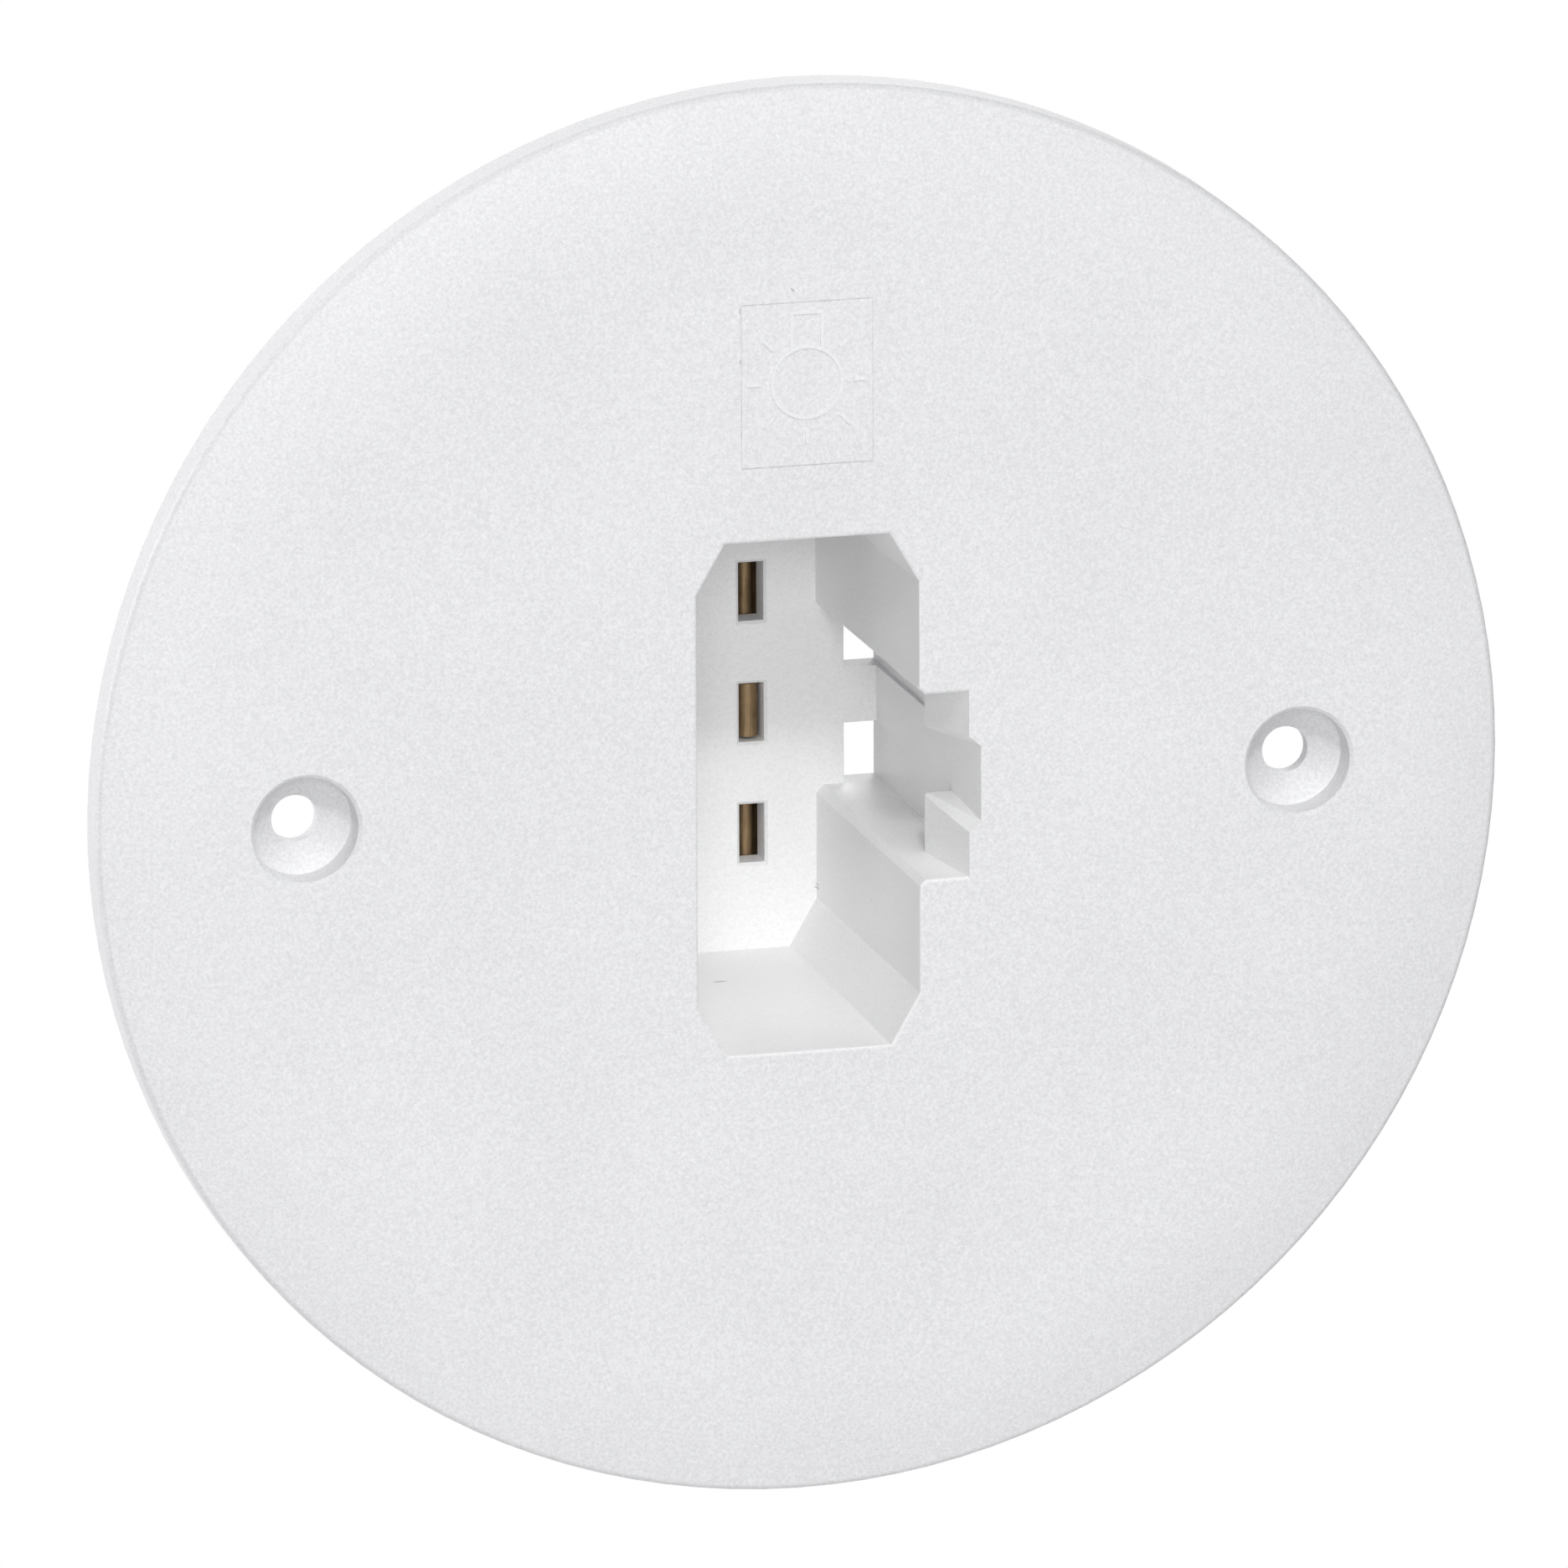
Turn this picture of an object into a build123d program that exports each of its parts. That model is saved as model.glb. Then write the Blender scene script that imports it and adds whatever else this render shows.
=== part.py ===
from build123d import *
import os
from math import asin, atan, degrees

# Round electrical box cover with a plug-in socket for a luminaire.
# X points right, Z up, and the front face looks along -Y.
# The origin is the plate's centre, on the plane where the rim seats.

# Plate
plate_radius = 60.0
plate_depth = 4.5
plate_wall = 2.0
face_flat_radius = 49.5
crown_radius = 41.0
rim_land = 2.0
rim_edge_radius = 0.5

# Screw seats, one on each side of the socket
screw_spacing = 85.0
screw_hole_radius = 1.975
seat_radius = 4.45
seat_depth = 3.0
seat_cone_depth = 1.4
boss_wall = 1.6
boss_depth = 5.7

# Socket recess: a rectangle with its four corners cut
recess_width = 19.04
recess_height = 43.7
recess_corner_x = 2.5
recess_corner_z = 4.27
recess_offset_x = 0.25
recess_depth = 32.4
recess_draft = 0.3
socket_wall = 1.6
socket_floor = 2.6
mouth_radius = 0.3

# Latch notch in the recess's right wall
notch_width = 5.28
notch_height = 15.86
notch_corner = 0.5

# Two catches on the notch's outer wall, undercut by cores from behind
catch_gap = 6.4
catch_gap_at_lip = 5.6
catch_entry = 1.05
catch_entry_bevel = 0.9
catch_reach = 2.45
catch_lip_bevel = 0.25
catch_depth = 9.0
core_gap = 4.8
core_width = 3.3
core_relief = 0.15

# Contact slots in the recess floor
pole_names = ("upper", "middle", "lower")
slot_pitch = 10.5
slot_centre_z = -1.0
slot_x = 3.9
slot_width = 2.2
slot_height = 5.1
slot_lead = 0.25

# Lamp sign above the socket
sign_x = 0.2
sign_z = 35.2
sign_line = 0.3
sign_relief = 0.12
bulb_radius = 3.15
cap_width = 2.9
cap_height = 2.9
ray_radius = 4.6
ray_length = 1.2
insert_width = 11.3
insert_height = 13.9
insert_drop = 0.15
insert_line = 0.1
insert_line_depth = 0.1

# Stiffening behind the plate
rib_thickness = 1.2
rib_height = 1.6
rib_ring_radius = 51.0
rib_count = 12
gusset_reach = 9.0
gusset_depth = 12.0
gusset_z = 11.0

# Snap lugs on the socket's top and bottom walls
lug_width = 5.0
lug_length = 3.2
lug_height = 1.2
lug_crest = 0.6
lug_from_floor = 8.5
snap_clearance = 0.25

# Terminal housing clipped behind the recess floor
housing_flange = 1.6
housing_wall = 1.5
housing_depth = 8.9
housing_edge_radius = 0.8
chamber_left = -6.6
chamber_width = 14.2
arm_width = 8.4
arm_thickness = 1.5
arm_tip = 1.8
wire_radius = 1.6
wire_pitch = 4.4
release_gap = 0.7
release_width = 1.6
release_height = 2.6

# Brass contacts, bent from strip: busbar, folded leaf and counter leaf.
# The middle one, for the earth, makes first: its fold reaches into the slot.
strip_thickness = 0.5
strip_height = 7.2
strip_bend = 0.7
bend_relief = 0.01
contact_clearance = 0.1
contact_to_floor = 0.3
busbar_x = -0.6
fold_widths = (1.3, 1.8, 1.3)
fold_reaches = (0.0, 2.0, 0.0)
fold_clearance = 0.2
fold_height = 4.6
neck_depth = 1.5
leaf_flare = 0.5
leaf_bulge = 0.8
leaf_length = 4.5

# Steel clamping springs of the push-in terminals
spring_thickness = 0.35
spring_height = 7.4
spring_clearance = 0.2
spring_bend = 0.85
spring_slit = 0.6
spring_hold_depth = 5.0

# Places worked out from the sizes above
face_y = -plate_depth
plate_back_y = face_y + plate_wall
floor_y = face_y + recess_depth
socket_back_y = floor_y + socket_floor
flange_back_y = socket_back_y + housing_flange
housing_back_y = flange_back_y + housing_depth
chamber_back_y = housing_back_y - housing_wall
draft_angle = degrees(atan(recess_draft / recess_depth))
recess_left = recess_offset_x - recess_width / 2
recess_right = recess_offset_x + recess_width / 2
recess_top = recess_height / 2
notch_right = recess_right + notch_width
notch_top = notch_height / 2
chamber_height = slot_pitch - housing_wall
pole_zs = [slot_centre_z + step * slot_pitch for step in (1, 0, -1)]


def plane_at(y):
    """A plane across the part, seen from the front, with Z up."""
    return Plane.XZ.offset(-y)


def socket_top_at(y):
    """Half the outer height of the drafted socket walls at a depth."""
    return recess_top + socket_wall - recess_draft * (y - face_y) / recess_depth


# Outline of the recess at the plate's face
with BuildSketch() as recess_mouth:
    with BuildLine():
        Polyline(
            (recess_left, 0),
            (recess_left, recess_top - recess_corner_z),
            (recess_left + recess_corner_x, recess_top),
            (recess_right - recess_corner_x, recess_top),
            (recess_right, recess_top - recess_corner_z),
            (recess_right, 0),
        )
        mirror(about=Plane.XZ)
    make_face()

# The same outline with the latch notch, whose two corners are bevelled
with BuildSketch() as socket_mouth:
    add(recess_mouth.sketch)
    with BuildLine():
        Polyline(
            (recess_offset_x, 0),
            (recess_offset_x, notch_top + notch_corner),
            (recess_right, notch_top + notch_corner),
            (recess_right + notch_corner, notch_top),
            (notch_right, notch_top),
            (notch_right, 0),
        )
        mirror(about=Plane.XZ)
    make_face()


def drafted_block(outline, depth):
    """A block from the plate's face to a depth, with walls drafted inwards."""
    with BuildPart(mode=Mode.PRIVATE) as block:
        with BuildSketch(plane_at(face_y)):
            add(outline)
        extrude(amount=-depth)
        draft(block.faces().filter_by(Axis.Y, reverse=True), plane_at(face_y), -draft_angle)
    return block.part


socket_outline = offset(socket_mouth.sketch, socket_wall, kind=Kind.INTERSECTION)
socket_outside = drafted_block(socket_outline, recess_depth + socket_floor)
socket_core = drafted_block(socket_mouth.sketch, recess_depth)


# The cover is one moulding: plate, socket walls, notch, catches and screw bosses
with BuildPart() as cover_body:
    # Plate with a crowned border and a narrow rim that seats on the wall
    inner_radius = plate_radius - rim_land
    inner_crown = crown_radius - plate_wall
    with BuildSketch() as plate_section:
        with BuildLine():
            face = Line((0, face_y), (face_flat_radius, face_y))
            crown_angle = degrees(asin((plate_radius - face_flat_radius) / crown_radius))
            crown = JernArc(face @ 1, (1, 0), crown_radius, crown_angle)
            side = Line(crown @ 1, (plate_radius, 0))
            land = Line(side @ 1, (inner_radius, 0))
            back = Line((0, plate_back_y), (face_flat_radius, plate_back_y))
            back_angle = degrees(asin((inner_radius - face_flat_radius) / inner_crown))
            hollow = JernArc(back @ 1, (1, 0), inner_crown, back_angle)
            Line(hollow @ 1, land @ 1)
            Line(back @ 0, face @ 0)
        make_face()
        rim_edge = plate_section.vertices().sort_by_distance(crown @ 1)[0]
        fillet(rim_edge, rim_edge_radius)
    revolve(axis=Axis.Y)

    # Low radial ribs and a ring rib, short of the seating plane
    with BuildSketch(plane_at(plate_back_y + rib_height)):
        Circle(rib_ring_radius + rib_thickness / 2)
        Circle(rib_ring_radius - rib_thickness / 2, mode=Mode.SUBTRACT)
        with PolarLocations(rib_ring_radius / 2, rib_count):
            Rectangle(rib_ring_radius, rib_thickness)
    extrude(amount=rib_height + plate_wall / 2)

    # Socket walls and floor
    add(socket_outside)

    # Gussets that brace the deep socket against the plate
    socket_side_x = recess_left - socket_wall
    for gusset_at in (-gusset_z, gusset_z):
        with BuildSketch(Plane.XY.offset(gusset_at)):
            with BuildLine():
                Polyline(
                    (recess_left, plate_back_y - plate_wall / 2),
                    (socket_side_x - gusset_reach, plate_back_y - plate_wall / 2),
                    (socket_side_x - gusset_reach, plate_back_y),
                    (socket_side_x, plate_back_y + gusset_depth),
                    (recess_left, plate_back_y + gusset_depth),
                    close=True,
                )
            make_face()
        extrude(amount=rib_thickness / 2, both=True)
    for side_z in (-1, 1):
        with BuildSketch(Plane.YZ.offset(recess_offset_x)):
            with BuildLine():
                Polyline(
                    (plate_back_y - plate_wall / 2, side_z * recess_top),
                    (plate_back_y - plate_wall / 2, side_z * (recess_top + socket_wall + gusset_reach)),
                    (plate_back_y, side_z * (recess_top + socket_wall + gusset_reach)),
                    (plate_back_y + gusset_depth, side_z * (recess_top + socket_wall)),
                    (plate_back_y + gusset_depth, side_z * recess_top),
                    close=True,
                )
            make_face()
        extrude(amount=rib_thickness / 2, both=True)

    # Wedge lugs that the terminal housing's arms snap over
    lug_front_y = floor_y - lug_from_floor
    lug_rear_y = lug_front_y + lug_length
    for side_z in (-1, 1):
        with BuildSketch(Plane.YZ.offset(recess_offset_x)):
            with BuildLine():
                Polyline(
                    (lug_front_y, side_z * recess_top),
                    (lug_front_y, side_z * (socket_top_at(lug_front_y) + lug_height)),
                    (lug_front_y + lug_crest, side_z * (socket_top_at(lug_front_y) + lug_height)),
                    (lug_rear_y, side_z * socket_top_at(lug_rear_y)),
                    (lug_rear_y, side_z * recess_top),
                    close=True,
                )
            make_face()
        extrude(amount=lug_width / 2, both=True)

    # Screw bosses behind the plate
    with BuildSketch(plane_at(plate_back_y - plate_wall / 2)):
        with GridLocations(screw_spacing, 0, 2, 1):
            Circle(seat_radius + boss_wall)
    extrude(amount=plate_back_y - plate_wall / 2 - face_y - boss_depth)

    # Recess and notch
    add(socket_core, mode=Mode.SUBTRACT)

    # The socket's mouth is rounded all the way along recess and notch
    front_face = cover_body.faces().sort_by(Axis.Y)[0]
    fillet(front_face.inner_wires().edges(), mouth_radius)

    # Screw seats: an eased counterbore, a shallow cone and the clearance hole
    for screw_x in (-screw_spacing / 2, screw_spacing / 2):
        with BuildSketch(Plane(origin=(screw_x, face_y, 0), x_dir=(1, 0, 0), z_dir=(0, 0, 1))):
            with BuildLine():
                Polyline(
                    (0, -mouth_radius),
                    (seat_radius + 2 * mouth_radius, -mouth_radius),
                    (seat_radius, mouth_radius),
                    (seat_radius, seat_depth),
                    (screw_hole_radius, seat_depth + seat_cone_depth),
                    (screw_hole_radius, boss_depth),
                    (0, boss_depth),
                    close=True,
                )
            make_face()
        revolve(axis=Axis((screw_x, 0, 0), (0, 1, 0)), mode=Mode.SUBTRACT)

    # Contact slots through the recess floor, eased at their mouths
    with BuildSketch(plane_at(floor_y)):
        with Locations([(slot_x, pole_z) for pole_z in pole_zs]):
            Rectangle(slot_width, slot_height)
    extrude(amount=-socket_floor, mode=Mode.SUBTRACT)
    floor_face = cover_body.faces().filter_by(Axis.Y).sort_by_distance((recess_offset_x, floor_y, 0))[0]
    chamfer(floor_face.inner_wires().edges(), slot_lead)

    # Cores that pass through the floor and clear the wall under each catch
    core_height = notch_top - recess_draft - core_gap / 2
    core_right = notch_right + core_relief
    with BuildSketch(plane_at(face_y + catch_depth)):
        for side_z in (-1, 1):
            with Locations((core_right - core_width / 2, side_z * (core_gap + core_height) / 2)):
                Rectangle(core_width, core_height)
    extrude(amount=-recess_depth - socket_floor + catch_depth, mode=Mode.SUBTRACT)

    # Ramped catches, lofted from the plate's face to their lips
    catch_root_x = notch_right + socket_wall / 2
    catch_outer_z = notch_top + socket_wall / 2
    for side_z in (-1, 1):
        with BuildSketch(plane_at(face_y)):
            with BuildLine():
                Polyline(
                    (catch_root_x, side_z * catch_gap / 2),
                    (notch_right, side_z * catch_gap / 2),
                    (notch_right - catch_entry, side_z * (catch_gap / 2 + catch_entry_bevel)),
                    (notch_right - catch_entry, side_z * catch_outer_z),
                    (catch_root_x, side_z * catch_outer_z),
                    close=True,
                )
            make_face()
        with BuildSketch(plane_at(face_y + catch_depth)):
            with BuildLine():
                Polyline(
                    (catch_root_x, side_z * catch_gap_at_lip / 2),
                    (notch_right - catch_reach + catch_lip_bevel, side_z * catch_gap_at_lip / 2),
                    (notch_right - catch_reach, side_z * (catch_gap_at_lip / 2 + catch_lip_bevel)),
                    (notch_right - catch_reach, side_z * catch_outer_z),
                    (catch_root_x, side_z * catch_outer_z),
                    close=True,
                )
            make_face()
        loft(ruled=True)

    # Fine line of the mould insert that carries the lamp sign
    with BuildSketch(plane_at(face_y)):
        with Locations((sign_x, sign_z - insert_drop)):
            Rectangle(insert_width, insert_height)
            Rectangle(insert_width - 2 * insert_line, insert_height - 2 * insert_line, mode=Mode.SUBTRACT)
    extrude(amount=-insert_line_depth, mode=Mode.SUBTRACT)

    # Lamp sign in raised lines: a bulb that hangs from its cap, with rays round it
    with BuildSketch(plane_at(face_y)):
        with Locations((sign_x, sign_z + bulb_radius)):
            Rectangle(cap_width, 2 * cap_height)
            Rectangle(cap_width - 2 * sign_line, 2 * (cap_height - sign_line), mode=Mode.SUBTRACT)
        with Locations((sign_x, sign_z)):
            Circle(bulb_radius)
            Circle(bulb_radius - sign_line, mode=Mode.SUBTRACT)
            with PolarLocations(ray_radius, 7, start_angle=135, angular_range=270, endpoint=True):
                Rectangle(ray_length, sign_line)
    extrude(amount=sign_relief)


# Terminal housing: a flange, three chambers open to the front and two snap arms
with BuildPart() as terminal_housing:
    with BuildSketch(plane_at(socket_back_y)):
        flange_grow = socket_top_at(socket_back_y) - recess_top
        add(offset(recess_mouth.sketch, flange_grow, kind=Kind.INTERSECTION, mode=Mode.PRIVATE))
    extrude(amount=-housing_flange)
    with BuildSketch(plane_at(flange_back_y)):
        with Locations((chamber_left + chamber_width / 2, slot_centre_z)):
            Rectangle(chamber_width + 2 * housing_wall, 3 * slot_pitch + housing_wall)
    extrude(amount=-housing_depth)
    block_edges = terminal_housing.edges().filter_by(Axis.Y).group_by(Axis.Y)[-1]
    fillet(block_edges, housing_edge_radius)

    # Arms along the socket's top and bottom, each with a window for its lug
    arm_front_y = lug_front_y - snap_clearance - arm_tip
    arm_inner_z = socket_top_at(arm_front_y) + snap_clearance
    arm_outer_z = arm_inner_z + arm_thickness
    for side_z in (-1, 1):
        with BuildSketch(Plane.YZ.offset(recess_offset_x)):
            with BuildLine():
                Polyline(
                    (arm_front_y, side_z * arm_inner_z),
                    (arm_front_y, side_z * arm_outer_z),
                    (flange_back_y, side_z * arm_outer_z),
                    (flange_back_y, side_z * (recess_top - socket_wall)),
                    (socket_back_y, side_z * (recess_top - socket_wall)),
                    (socket_back_y, side_z * arm_inner_z),
                    close=True,
                )
            make_face()
        extrude(amount=arm_width / 2, both=True)
        window_centre_y = (lug_front_y + lug_rear_y) / 2
        with BuildSketch(Plane.XY.offset(side_z * (arm_inner_z + arm_outer_z) / 2)):
            with Locations((recess_offset_x, window_centre_y)):
                Rectangle(lug_width + 2 * snap_clearance, lug_length + 2 * snap_clearance)
        extrude(amount=arm_thickness, both=True, mode=Mode.SUBTRACT)

    # One chamber behind each slot
    with BuildSketch(plane_at(socket_back_y)):
        with Locations([(chamber_left + chamber_width / 2, pole_z) for pole_z in pole_zs]):
            Rectangle(chamber_width, chamber_height)
    extrude(amount=socket_back_y - chamber_back_y, mode=Mode.SUBTRACT)

    # Two round wire entries and two release slots for each pole
    wire_x = busbar_x - strip_thickness / 2 - wire_radius
    release_x = wire_x - wire_radius - release_gap - release_width / 2
    entry_zs = [pole_z + side * wire_pitch / 2 for pole_z in pole_zs for side in (-1, 1)]
    with BuildSketch(plane_at(housing_back_y)):
        with Locations([(release_x, entry_z) for entry_z in entry_zs]):
            Rectangle(release_width, release_height)
        with Locations([(wire_x, entry_z) for entry_z in entry_zs]):
            Circle(wire_radius)
    extrude(amount=housing_wall, mode=Mode.SUBTRACT)


def bent_strip(route, bend, thickness):
    """The section of a strip that follows a route of straight runs and bends."""
    with BuildSketch() as section:
        with BuildLine(mode=Mode.PRIVATE) as middle_line:
            FilletPolyline(*route, radius=bend)
        trace(middle_line.line, thickness)
    return section.sketch


# Contacts: the folded leaf stands right behind its slot
contacts = []
for pole_name, pole_z, fold_width, fold_reach in zip(pole_names, pole_zs, fold_widths, fold_reaches):
    base_y = chamber_back_y - contact_clearance - strip_thickness / 2
    front_y = socket_back_y + contact_to_floor + strip_thickness / 2
    fold_y = front_y - fold_reach
    fold_right = slot_x + slot_width / 2 - fold_clearance - strip_thickness / 2
    fold_left = fold_right - fold_width + strip_thickness
    fold_bend = (fold_right - fold_left) / 2 - bend_relief
    neck_x = slot_x + slot_width / 2 + contact_clearance + strip_thickness / 2
    route = [
        (busbar_x, front_y),
        (busbar_x, base_y),
        (fold_left, base_y),
        (fold_left, fold_y),
        (fold_right, fold_y),
        (fold_right, base_y),
        (neck_x + leaf_bulge, base_y),
        (neck_x + leaf_bulge, base_y - leaf_length / 2),
        (neck_x, front_y + neck_depth),
        (neck_x + leaf_flare, front_y),
    ]
    bends = [strip_bend, strip_bend, fold_bend, fold_bend, strip_bend, strip_bend, strip_bend, strip_bend]
    with BuildPart() as contact:
        with BuildSketch(Plane.XY.offset(pole_z - strip_height / 2)):
            add(bent_strip(route, bends, strip_thickness))
        extrude(amount=strip_height)
        if fold_reach > 0:
            with BuildSketch(plane_at(socket_back_y + contact_to_floor)):
                with Locations((slot_x, pole_z)):
                    Rectangle(2 * slot_width, strip_height)
                    Rectangle(2 * slot_width, fold_height, mode=Mode.SUBTRACT)
            extrude(amount=fold_reach, mode=Mode.SUBTRACT)
    contact.part.label = "contact_" + pole_name
    contacts.append(contact.part)


# Clamping springs: one leg along the chamber wall, two tongues against the busbar
springs = []
for pole_name, pole_z in zip(pole_names, pole_zs):
    anchor_x = chamber_left + spring_clearance + spring_thickness / 2
    bend_y = chamber_back_y - spring_clearance - spring_thickness / 2
    tongue_x = anchor_x + 2 * spring_bend
    tip_x = busbar_x - strip_thickness / 2 - spring_clearance - spring_thickness / 2
    route = [
        (anchor_x, socket_back_y + contact_to_floor),
        (anchor_x, bend_y),
        (tongue_x, bend_y),
        (tip_x, chamber_back_y - spring_hold_depth),
    ]
    with BuildPart() as spring:
        with BuildSketch(Plane.XY.offset(pole_z - spring_height / 2)):
            add(bent_strip(route, spring_bend, spring_thickness))
        extrude(amount=spring_height)
        with BuildSketch(Plane.YZ.offset(tongue_x)):
            with Locations((chamber_back_y - spring_hold_depth / 2 - spring_bend, pole_z)):
                Rectangle(spring_hold_depth, spring_slit)
        extrude(amount=tip_x - tongue_x + spring_bend, mode=Mode.SUBTRACT)
    spring.part.label = "clamp_spring_" + pole_name
    springs.append(spring.part)


cover_body.part.label = "cover_body"
terminal_housing.part.label = "terminal_housing"

os.makedirs("parts", exist_ok=True)
export_step(cover_body.part, "parts/cover_body.step")
export_step(terminal_housing.part, "parts/terminal_housing.step")
for piece in contacts + springs:
    export_step(piece, "parts/" + piece.label + ".step")
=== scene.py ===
import bmesh
import bpy
from mathutils import Matrix, Vector

# Round electrical box cover, 120 mm across, with a deep latched socket for a luminaire plug.
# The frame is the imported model: X to the right, Z up, the front face towards -Y, in metres.
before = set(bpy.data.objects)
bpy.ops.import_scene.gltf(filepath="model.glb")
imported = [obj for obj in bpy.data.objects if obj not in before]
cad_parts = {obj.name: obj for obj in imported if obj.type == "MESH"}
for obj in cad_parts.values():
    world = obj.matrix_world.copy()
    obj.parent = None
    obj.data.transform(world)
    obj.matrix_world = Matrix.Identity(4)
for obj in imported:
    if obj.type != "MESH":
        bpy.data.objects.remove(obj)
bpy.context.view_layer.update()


# Where the cover is seen from: a long lens, from the left and a little above, 1.7 m away
camera_data = bpy.data.cameras.new("camera")
camera_data.sensor_width = 36.0
camera_data.lens = 480.77
camera_data.clip_start = 0.05
camera_data.clip_end = 20.0
camera = bpy.data.objects.new("camera", camera_data)
bpy.context.scene.collection.objects.link(camera)
camera_place = Vector((-0.4306, -1.6273, 0.4290))
camera_right = Vector((0.96654, -0.25647, -0.00428)).normalized()
camera_back = -Vector((0.24750, 0.93688, -0.24700)).normalized()
camera_up = camera_back.cross(camera_right).normalized()
camera_right = camera_up.cross(camera_back)
camera_turn = Matrix((camera_right, camera_up, camera_back)).transposed().to_4x4()
camera.matrix_world = Matrix.Translation(camera_place) @ camera_turn
bpy.context.scene.camera = camera
bpy.context.scene.view_settings.view_transform = "Standard"


# Light: a small key lamp in front and above, which draws the shadow's edge in the socket, a
# wide overhead lamp, a soft fill near the camera, a weak lamp from the left for the socket's
# right wall, one for the left side of the plate's rim and a weak one behind. All are the same
# distance away.
lamp_distance = 1.6
for name, direction, size, power in (
    ("key_lamp", (-0.12, -1.0, 0.80), 0.14, 4.5),
    ("overhead_lamp", (0.0, -0.6, 0.8), 1.2, 9.3),
    ("fill_lamp", (-0.20, -0.94, 0.25), 0.5, 7.9),
    ("left_lamp", (-0.80, -0.60, -0.10), 0.4, 1.2),
    ("side_lamp", (-0.90, 0.37, 0.20), 0.6, 14.0),
    ("rear_lamp", (0.5, 1.0, 0.8), 0.6, 6.5),
):
    lamp_data = bpy.data.lights.new(name, "AREA")
    lamp_data.shape = "DISK"
    lamp_data.size = size
    lamp_data.energy = power
    lamp = bpy.data.objects.new(name, lamp_data)
    bpy.context.scene.collection.objects.link(lamp)
    towards = Vector(direction).normalized()
    lamp.location = towards * lamp_distance
    lamp.rotation_euler = towards.to_track_quat("Z", "Y").to_euler()


# Surround: plain white where the camera sees it, straight, mirrored or through the cover. It
# lights the cover with an even light, a little stronger from below, as over a white table.
surround = bpy.data.worlds.new("surround")
surround.use_nodes = True
bpy.context.scene.world = surround
tree = surround.node_tree
tree.nodes.clear()
even_light = tree.nodes.new("ShaderNodeBackground")
even_light.inputs["Color"].default_value = (0.99, 0.995, 1.0, 1.0)
white_behind = tree.nodes.new("ShaderNodeBackground")
white_behind.inputs["Color"].default_value = (1.0, 1.0, 1.0, 1.0)
white_behind.inputs["Strength"].default_value = 1.0
looking = tree.nodes.new("ShaderNodeTexCoord")
looking_parts = tree.nodes.new("ShaderNodeSeparateXYZ")
from_below = tree.nodes.new("ShaderNodeMapRange")
from_below.inputs["From Min"].default_value = -0.3
from_below.inputs["From Max"].default_value = 0.3
from_below.inputs["To Min"].default_value = 0.37
from_below.inputs["To Max"].default_value = 0.22
tree.links.new(looking.outputs["Generated"], looking_parts.inputs[0])
tree.links.new(looking_parts.outputs["Z"], from_below.inputs["Value"])
tree.links.new(from_below.outputs[0], even_light.inputs["Strength"])
ray = tree.nodes.new("ShaderNodeLightPath")
seen_or_mirrored = tree.nodes.new("ShaderNodeMath")
seen_or_mirrored.operation = "MAXIMUM"
seen_at_all = tree.nodes.new("ShaderNodeMath")
seen_at_all.operation = "MAXIMUM"
choose = tree.nodes.new("ShaderNodeMixShader")
surround_out = tree.nodes.new("ShaderNodeOutputWorld")
tree.links.new(ray.outputs["Is Camera Ray"], seen_or_mirrored.inputs[0])
tree.links.new(ray.outputs["Is Glossy Ray"], seen_or_mirrored.inputs[1])
tree.links.new(seen_or_mirrored.outputs[0], seen_at_all.inputs[0])
tree.links.new(ray.outputs["Is Transmission Ray"], seen_at_all.inputs[1])
tree.links.new(seen_at_all.outputs[0], choose.inputs["Fac"])
tree.links.new(even_light.outputs[0], choose.inputs[1])
tree.links.new(white_behind.outputs[0], choose.inputs[2])
tree.links.new(choose.outputs[0], surround_out.inputs["Surface"])


# Floor: a plain pale disc, well below the cover as it hangs on its screws, so that the
# cover's shadow falls on it out of the picture.
floor_height = -0.25
floor_radius = 0.42
floor_mesh = bpy.data.meshes.new("floor")
floor = bpy.data.objects.new("floor", floor_mesh)
bpy.context.scene.collection.objects.link(floor)
bm = bmesh.new()
bmesh.ops.create_circle(bm, cap_ends=True, segments=128, radius=floor_radius)
bmesh.ops.translate(bm, verts=bm.verts, vec=(0.0, 0.0, floor_height))
bm.to_mesh(floor_mesh)
bm.free()
floor_paint = bpy.data.materials.new("pale_floor")
floor_paint.use_nodes = True
floor_shader = floor_paint.node_tree.nodes["Principled BSDF"]
floor_shader.inputs["Base Color"].default_value = (0.86, 0.86, 0.86, 1.0)
floor_shader.inputs["Roughness"].default_value = 0.9
floor_mesh.materials.append(floor_paint)


# Cover moulding: the plate with its screw seats, lamp sign, latch notch and deep socket is one
# shot of white thermoplastic. The face has the fine grain of a spark-eroded mould, and the
# socket's walls have the smoother skin and faint draw lines of its core.
def put_node(tree, kind, **settings):
    node = tree.nodes.new(kind)
    for name, value in settings.items():
        setattr(node, name, value)
    return node


def feed(tree, socket, source):
    # An output is linked to the socket, and a plain value is set on it
    if isinstance(source, bpy.types.NodeSocket):
        tree.links.new(source, socket)
    else:
        socket.default_value = source


def ramp(tree, value, start, end, low=0.0, high=1.0, kind="LINEAR"):
    node = put_node(tree, "ShaderNodeMapRange", interpolation_type=kind)
    node.inputs["From Min"].default_value = start
    node.inputs["From Max"].default_value = end
    node.inputs["To Min"].default_value = low
    node.inputs["To Max"].default_value = high
    tree.links.new(value, node.inputs["Value"])
    return node.outputs[0]


def soft_ramp(tree, value, start, end, high=1.0):
    return ramp(tree, value, start, end, 0.0, high, "SMOOTHSTEP")


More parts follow.
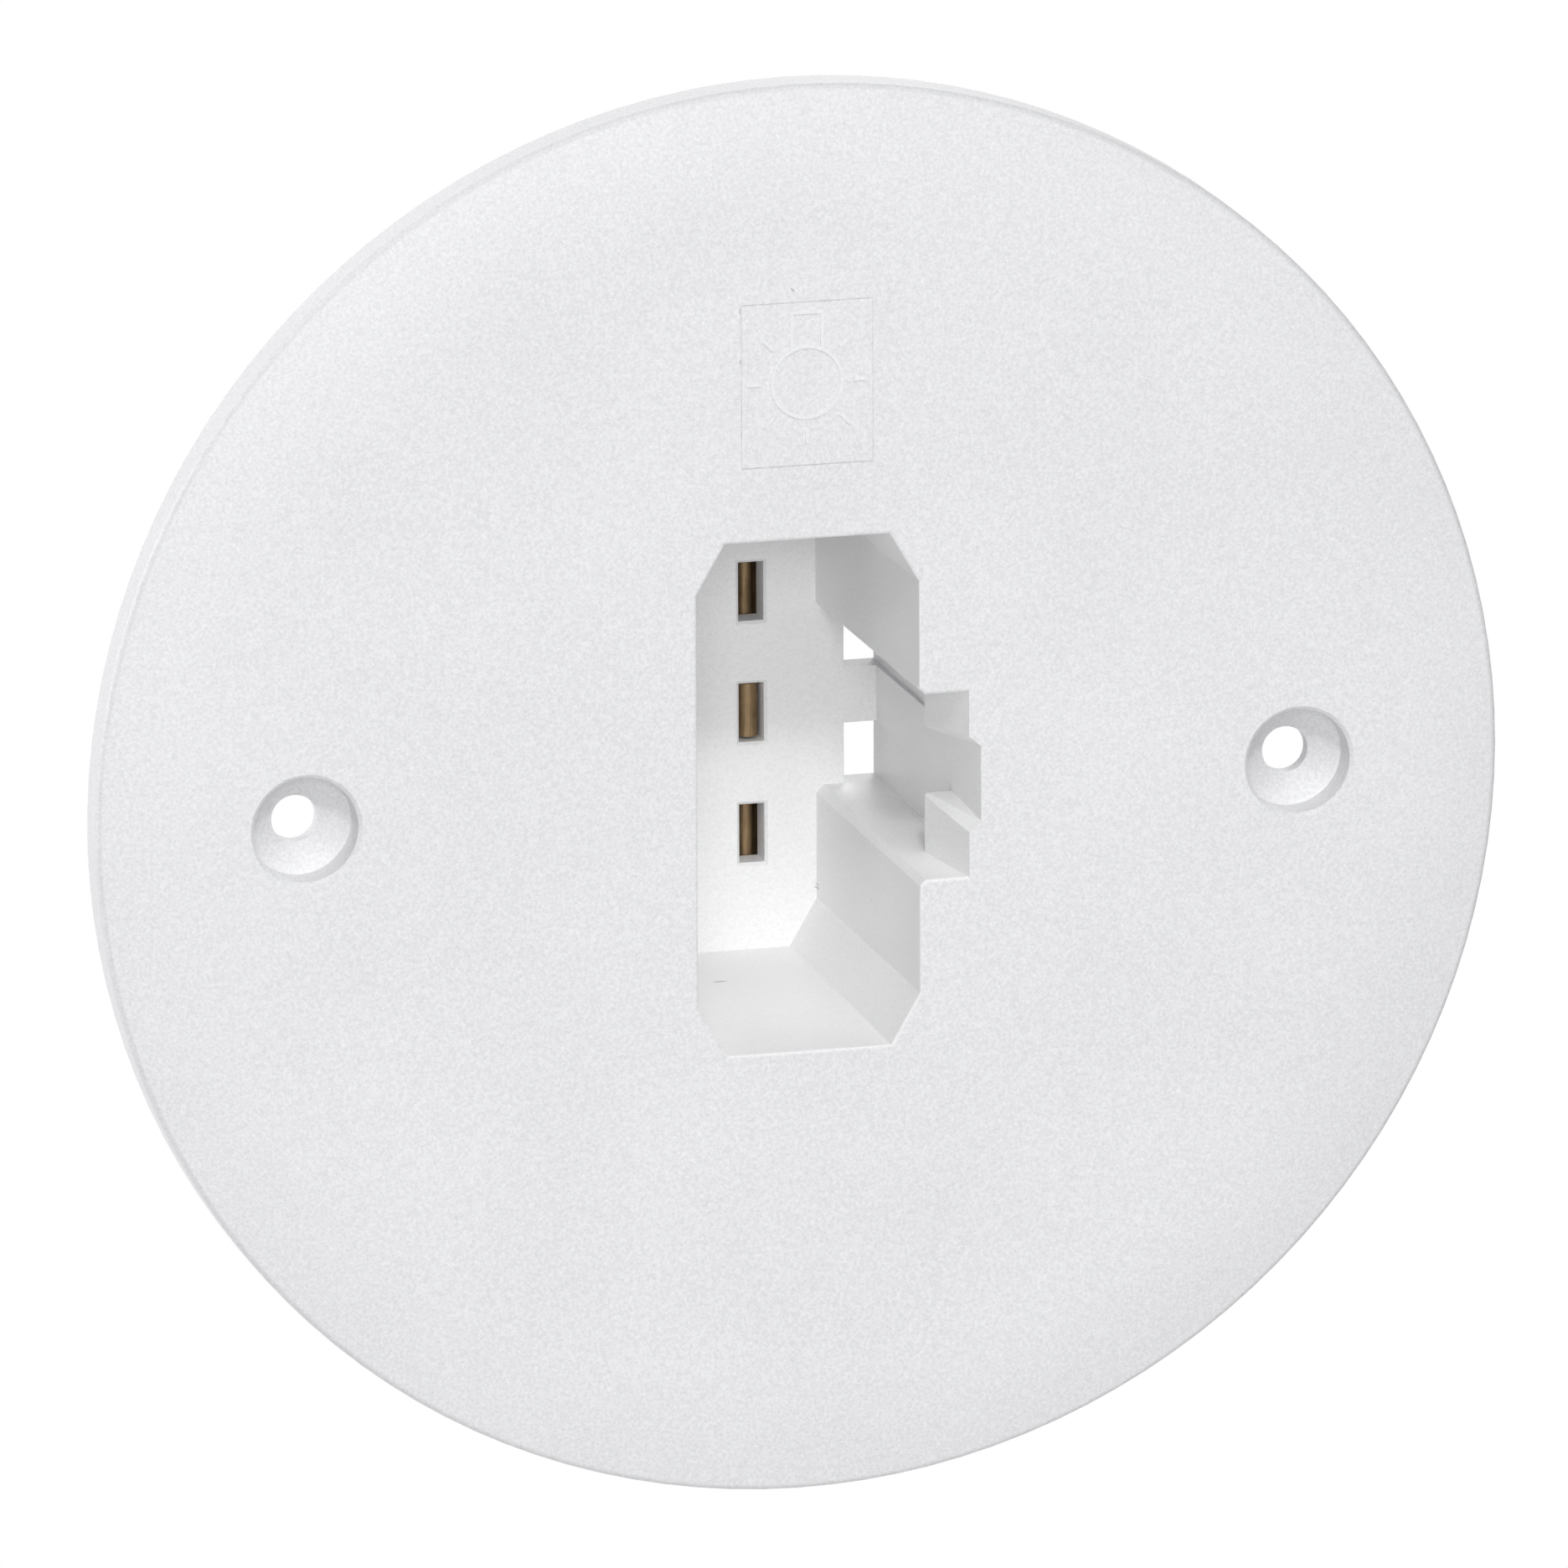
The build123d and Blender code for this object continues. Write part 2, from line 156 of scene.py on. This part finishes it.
def work_out(tree, operation, *sources):
    node = put_node(tree, "ShaderNodeMath", operation=operation)
    for socket, source in zip(node.inputs, sources):
        feed(tree, socket, source)
    return node.outputs[0]


def work_out_vector(tree, operation, *sources):
    node = put_node(tree, "ShaderNodeVectorMath", operation=operation)
    for socket, source in zip(node.inputs, sources):
        feed(tree, socket, source)
    return node.outputs["Value" if operation in ("LENGTH", "DOT_PRODUCT") else "Vector"]


def parts_of(tree, vector):
    node = put_node(tree, "ShaderNodeSeparateXYZ")
    tree.links.new(vector, node.inputs[0])
    return node.outputs


def blend(tree, factor, first, second, blend_type="MIX"):
    # Each colour is an output or three plain values
    node = put_node(tree, "ShaderNodeMix", data_type="RGBA", blend_type=blend_type)
    tree.links.new(factor, node.inputs[0])
    for socket, colour in ((node.inputs[6], first), (node.inputs[7], second)):
        feed(tree, socket, (*colour, 1.0) if isinstance(colour, tuple) else colour)
    return node.outputs[2]


def noise(tree, place, scale, detail):
    node = put_node(tree, "ShaderNodeTexNoise")
    node.inputs["Scale"].default_value = scale
    node.inputs["Detail"].default_value = detail
    tree.links.new(place, node.inputs["Vector"])
    return node.outputs["Fac"]


def stretched(tree, place, stretch):
    node = put_node(tree, "ShaderNodeMapping")
    node.inputs["Scale"].default_value = stretch
    tree.links.new(place, node.inputs["Vector"])
    return node.outputs[0]


def raise_skin(tree, shader, height, strength, distance):
    bump = put_node(tree, "ShaderNodeBump")
    bump.inputs["Strength"].default_value = strength
    bump.inputs["Distance"].default_value = distance
    tree.links.new(height, bump.inputs["Height"])
    tree.links.new(bump.outputs[0], shader.inputs["Normal"])


def blank_material(name):
    material = bpy.data.materials.new(name)
    material.use_nodes = True
    tree = material.node_tree
    place = put_node(tree, "ShaderNodeTexCoord").outputs["Object"]
    return material, tree, tree.nodes["Principled BSDF"], place


def give_material(node_name, material):
    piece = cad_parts[node_name]
    piece.data.materials.clear()
    piece.data.materials.append(material)


# Every moulding has the mould's fine grain and broad clouds from the melt's flow
plastic_ior = 1.49
moulded_skin = bpy.data.node_groups.new("moulded_skin", "ShaderNodeTree")
for name, kind in (("Place", "NodeSocketVector"), ("Grain per metre", "NodeSocketFloat")):
    moulded_skin.interface.new_socket(name, in_out="INPUT", socket_type=kind)
for name in ("Grain", "Flow"):
    moulded_skin.interface.new_socket(name, in_out="OUTPUT", socket_type="NodeSocketFloat")
skin_in = put_node(moulded_skin, "NodeGroupInput")
skin_out = put_node(moulded_skin, "NodeGroupOutput")
fine_grain = put_node(moulded_skin, "ShaderNodeTexNoise")
fine_grain.inputs["Detail"].default_value = 3.0
fine_grain.inputs["Roughness"].default_value = 0.75
moulded_skin.links.new(skin_in.outputs["Place"], fine_grain.inputs["Vector"])
moulded_skin.links.new(skin_in.outputs["Grain per metre"], fine_grain.inputs["Scale"])
moulded_skin.links.new(fine_grain.outputs["Fac"], skin_out.inputs["Grain"])
clouds_per_metre = 55.0
clouds = noise(moulded_skin, skin_in.outputs["Place"], clouds_per_metre, 2.0)
moulded_skin.links.new(clouds, skin_out.inputs["Flow"])

white_moulding, tree, shader, place = blank_material("white_moulding")
shader.inputs["IOR"].default_value = plastic_ior
skin = put_node(tree, "ShaderNodeGroup", node_tree=moulded_skin)
skin.inputs["Grain per metre"].default_value = 3700.0
tree.links.new(place, skin.inputs["Place"])
place_parts = parts_of(tree, place)
facing = put_node(tree, "ShaderNodeNewGeometry").outputs["Normal"]

# The grain covers only what faces forward within the plate: the face and the screw seats
turned_forward = soft_ramp(tree, parts_of(tree, facing)["Y"], start=-0.6, end=-0.9)
near_face = soft_ramp(tree, place_parts["Y"], start=-0.0001, end=-0.0006)
grained = work_out(tree, "MULTIPLY", turned_forward, near_face)

# The socket's core left a smoother skin. Its inner sides and floor are also painted whiter than
# the face, painted light that lifts the socket's shade, which the same plastic wouldn't be: in one
# colour the socket came out too dark.
socket_middle = (0.0029, 0.0, 0.0)
before_socket = (0.0029, -0.02, 0.0)
from_middle = work_out_vector(tree, "SUBTRACT", place, socket_middle)
side_parts = parts_of(tree, work_out_vector(tree, "ABSOLUTE", from_middle))
across_socket = soft_ramp(tree, side_parts["X"], start=0.0127, end=0.0123)
along_socket = soft_ramp(tree, side_parts["Z"], start=0.0224, end=0.0219)
in_outline = work_out(tree, "MULTIPLY", across_socket, along_socket)
from_front = work_out_vector(tree, "SUBTRACT", place, before_socket)
outwards = work_out_vector(tree, "DOT_PRODUCT", from_front, facing)
inner_side = work_out(tree, "LESS_THAN", outwards, 0.0)
not_face = work_out(tree, "SUBTRACT", 1.0, grained)
inside = work_out(tree, "MULTIPLY", in_outline, inner_side)
smooth_skin_and_painted_light = work_out(tree, "MULTIPLY", inside, not_face)

# Away from the grained face, faint draw lines run along the depth, the way the mould opened
draw_lines_per_metre = 1500.0
draw_lines = noise(tree, stretched(tree, place, (1.0, 0.03, 1.0)), draw_lines_per_metre, 2.0)
relief = put_node(tree, "ShaderNodeMix", data_type="FLOAT")
tree.links.new(grained, relief.inputs[0])
tree.links.new(draw_lines, relief.inputs[2])
tree.links.new(skin.outputs["Grain"], relief.inputs[3])
raise_skin(tree, shader, relief.outputs[0], strength=0.35, distance=0.00006)

# Face tone: the grain's pits are greyer than its peaks, over a breath of flow from the melt
flow_share = 0.15
tone = work_out(tree, "MULTIPLY_ADD", skin.outputs["Flow"], flow_share, skin.outputs["Grain"])
pit_to_peak = ramp(tree, tone, start=0.30, end=0.85)
face_tones = blend(tree, pit_to_peak, (0.635, 0.635, 0.648), (0.873, 0.873, 0.888))
# The socket's inner tones are painted light, whiter than the face's
painted_light_core_tones = blend(tree, pit_to_peak, (0.850, 0.850, 0.857), (1.000, 1.000, 1.000))
tones = blend(tree, smooth_skin_and_painted_light, face_tones, painted_light_core_tones)

# The lamp sign's raised lines are painted a little lighter than the face round them, a painted
# highlight along the ridges
plain_white = (1.0, 1.0, 1.0)
raised_line_highlight = ramp(tree, place_parts["Y"], start=-0.00453, end=-0.00459, high=0.20)
tones = blend(tree, raised_line_highlight, tones, plain_white)

# The screw seats are painted a shade greyer than the face, painted shade in their hollows, and so
# is the plate's rounded edge, painted shade that dulls the bright line it would otherwise shine
# with, which the real one doesn't show
screw_spacing = 0.085
seat_middle = (screw_spacing / 2, 0.0, 0.0)
on_plane = (1.0, 0.0, 1.0)
from_seat = work_out_vector(tree, "SUBTRACT", work_out_vector(tree, "ABSOLUTE", place), seat_middle)
seat_reach = work_out_vector(tree, "LENGTH", work_out_vector(tree, "MULTIPLY", from_seat, on_plane))
in_seat = soft_ramp(tree, seat_reach, start=0.0048, end=0.0044, high=0.02)
edge_reach = work_out_vector(tree, "LENGTH", work_out_vector(tree, "MULTIPLY", place, on_plane))
at_edge = ramp(tree, edge_reach, start=0.05945, end=0.05965, high=0.10)
on_rounding = ramp(tree, place_parts["Y"], start=-0.0027, end=-0.0029)
rounded_edge = work_out(tree, "MULTIPLY", at_edge, on_rounding)
painted_shade = work_out(tree, "MAXIMUM", in_seat, rounded_edge)
tones = blend(tree, painted_shade, tones, (0.0, 0.0, 0.0), "MULTIPLY")

# Small scuffs and specks: one above the lamp sign, two on its groove, two in the socket's
# lower right corner and a short scratch on its bottom wall
marked = None
for centre, reach, turn in (
    ((-0.00098, -0.0045, 0.04302), (0.00026, 0.0004, 0.00009), 0.8),
    ((-0.00546, -0.0045, 0.04150), (0.00008, 0.0004, 0.00032), 0.0),
    ((-0.00546, -0.0045, 0.03720), (0.00007, 0.0004, 0.00026), 0.0),
    ((0.00950, 0.02760, -0.01655), (0.00032, 0.0005, 0.00008), 0.0),
    ((0.00950, 0.02760, -0.01625), (0.00018, 0.0005, 0.00006), 0.0),
    ((-0.00145, 0.01850, -0.02170), (0.00068, 0.00018, 0.0004), 0.0),
):
    about = put_node(tree, "ShaderNodeMapping", vector_type="TEXTURE")
    about.inputs["Location"].default_value = centre
    about.inputs["Rotation"].default_value = (0.0, turn, 0.0)
    about.inputs["Scale"].default_value = reach
    tree.links.new(place, about.inputs["Vector"])
    away = work_out_vector(tree, "LENGTH", about.outputs[0])
    mark = soft_ramp(tree, away, start=1.3, end=0.4)
    marked = mark if marked is None else work_out(tree, "MAXIMUM", marked, mark)
scuff_grey = (0.46, 0.46, 0.47)
tones = blend(tree, marked, tones, scuff_grey)
tree.links.new(tones, shader.inputs["Base Color"])

# The skin that the core left shines a little more than the rest
sheen = ramp(tree, smooth_skin_and_painted_light, start=0.0, end=1.0, low=0.50, high=0.36)
tree.links.new(sheen, shader.inputs["Roughness"])
give_material("cover_body", white_moulding)


# Terminal housing: an off-white moulding, smoother than the cover, that snaps over the lugs on
# the socket's top and bottom walls and holds the contacts and clamping springs.
housing_moulding, tree, shader, place = blank_material("housing_moulding")
shader.inputs["IOR"].default_value = plastic_ior
skin = put_node(tree, "ShaderNodeGroup", node_tree=moulded_skin)
skin.inputs["Grain per metre"].default_value = 900.0
tree.links.new(place, skin.inputs["Place"])
flow = skin.outputs["Flow"]
tones = blend(tree, flow, (0.70, 0.71, 0.715), (0.76, 0.765, 0.77))
tree.links.new(tones, shader.inputs["Base Color"])
sheen = ramp(tree, flow, start=0.0, end=1.0, low=0.32, high=0.46)
tree.links.new(sheen, shader.inputs["Roughness"])
raise_skin(tree, shader, skin.outputs["Grain"], strength=0.2, distance=0.00005)
give_material("terminal_housing", housing_moulding)


# Contacts: brass strip, sheared and folded, which lies in the housing's chambers. Its edges and
# folds show through the slots, dulled brown, with the fine lines of the rolling mill.
def rolled_metal(name, dark, bright, metallic, roughness, lines_per_metre, stretch):
    material, tree, shader, place = blank_material(name)
    shader.inputs["Metallic"].default_value = metallic
    line_share = 0.9
    tarnish_per_metre = 420.0
    mill_lines = noise(tree, stretched(tree, place, stretch), lines_per_metre, 3.0)
    tarnish = noise(tree, place, tarnish_per_metre, 4.0)
    worn = work_out(tree, "MULTIPLY_ADD", mill_lines, line_share, tarnish)
    film = ramp(tree, worn, start=0.68, end=1.22)
    tree.links.new(blend(tree, film, dark, bright), shader.inputs["Base Color"])
    dulled = roughness + 0.1
    sheen = ramp(tree, film, start=0.0, end=1.0, low=dulled, high=roughness)
    tree.links.new(sheen, shader.inputs["Roughness"])
    raise_skin(tree, shader, mill_lines, strength=0.3, distance=0.00002)
    return material


contact_brass = rolled_metal(
    "contact_brass",
    dark=(0.18, 0.120, 0.062),
    bright=(0.38, 0.26, 0.140),
    metallic=0.6,
    roughness=0.45,
    lines_per_metre=5000.0,
    stretch=(1.0, 1.0, 0.06),
)
for pole in ("upper", "middle", "lower"):
    give_material("contact_" + pole, contact_brass)


# Clamping springs: bright rolled spring steel, bent over and slit into two tongues, one for
# each wire. They stand in the chambers' left ends, behind the wire entries.
spring_steel = rolled_metal(
    "spring_steel",
    dark=(0.40, 0.40, 0.41),
    bright=(0.62, 0.62, 0.63),
    metallic=1.0,
    roughness=0.24,
    lines_per_metre=4000.0,
    stretch=(0.05, 0.05, 1.0),
)
for pole in ("upper", "middle", "lower"):
    give_material("clamp_spring_" + pole, spring_steel)
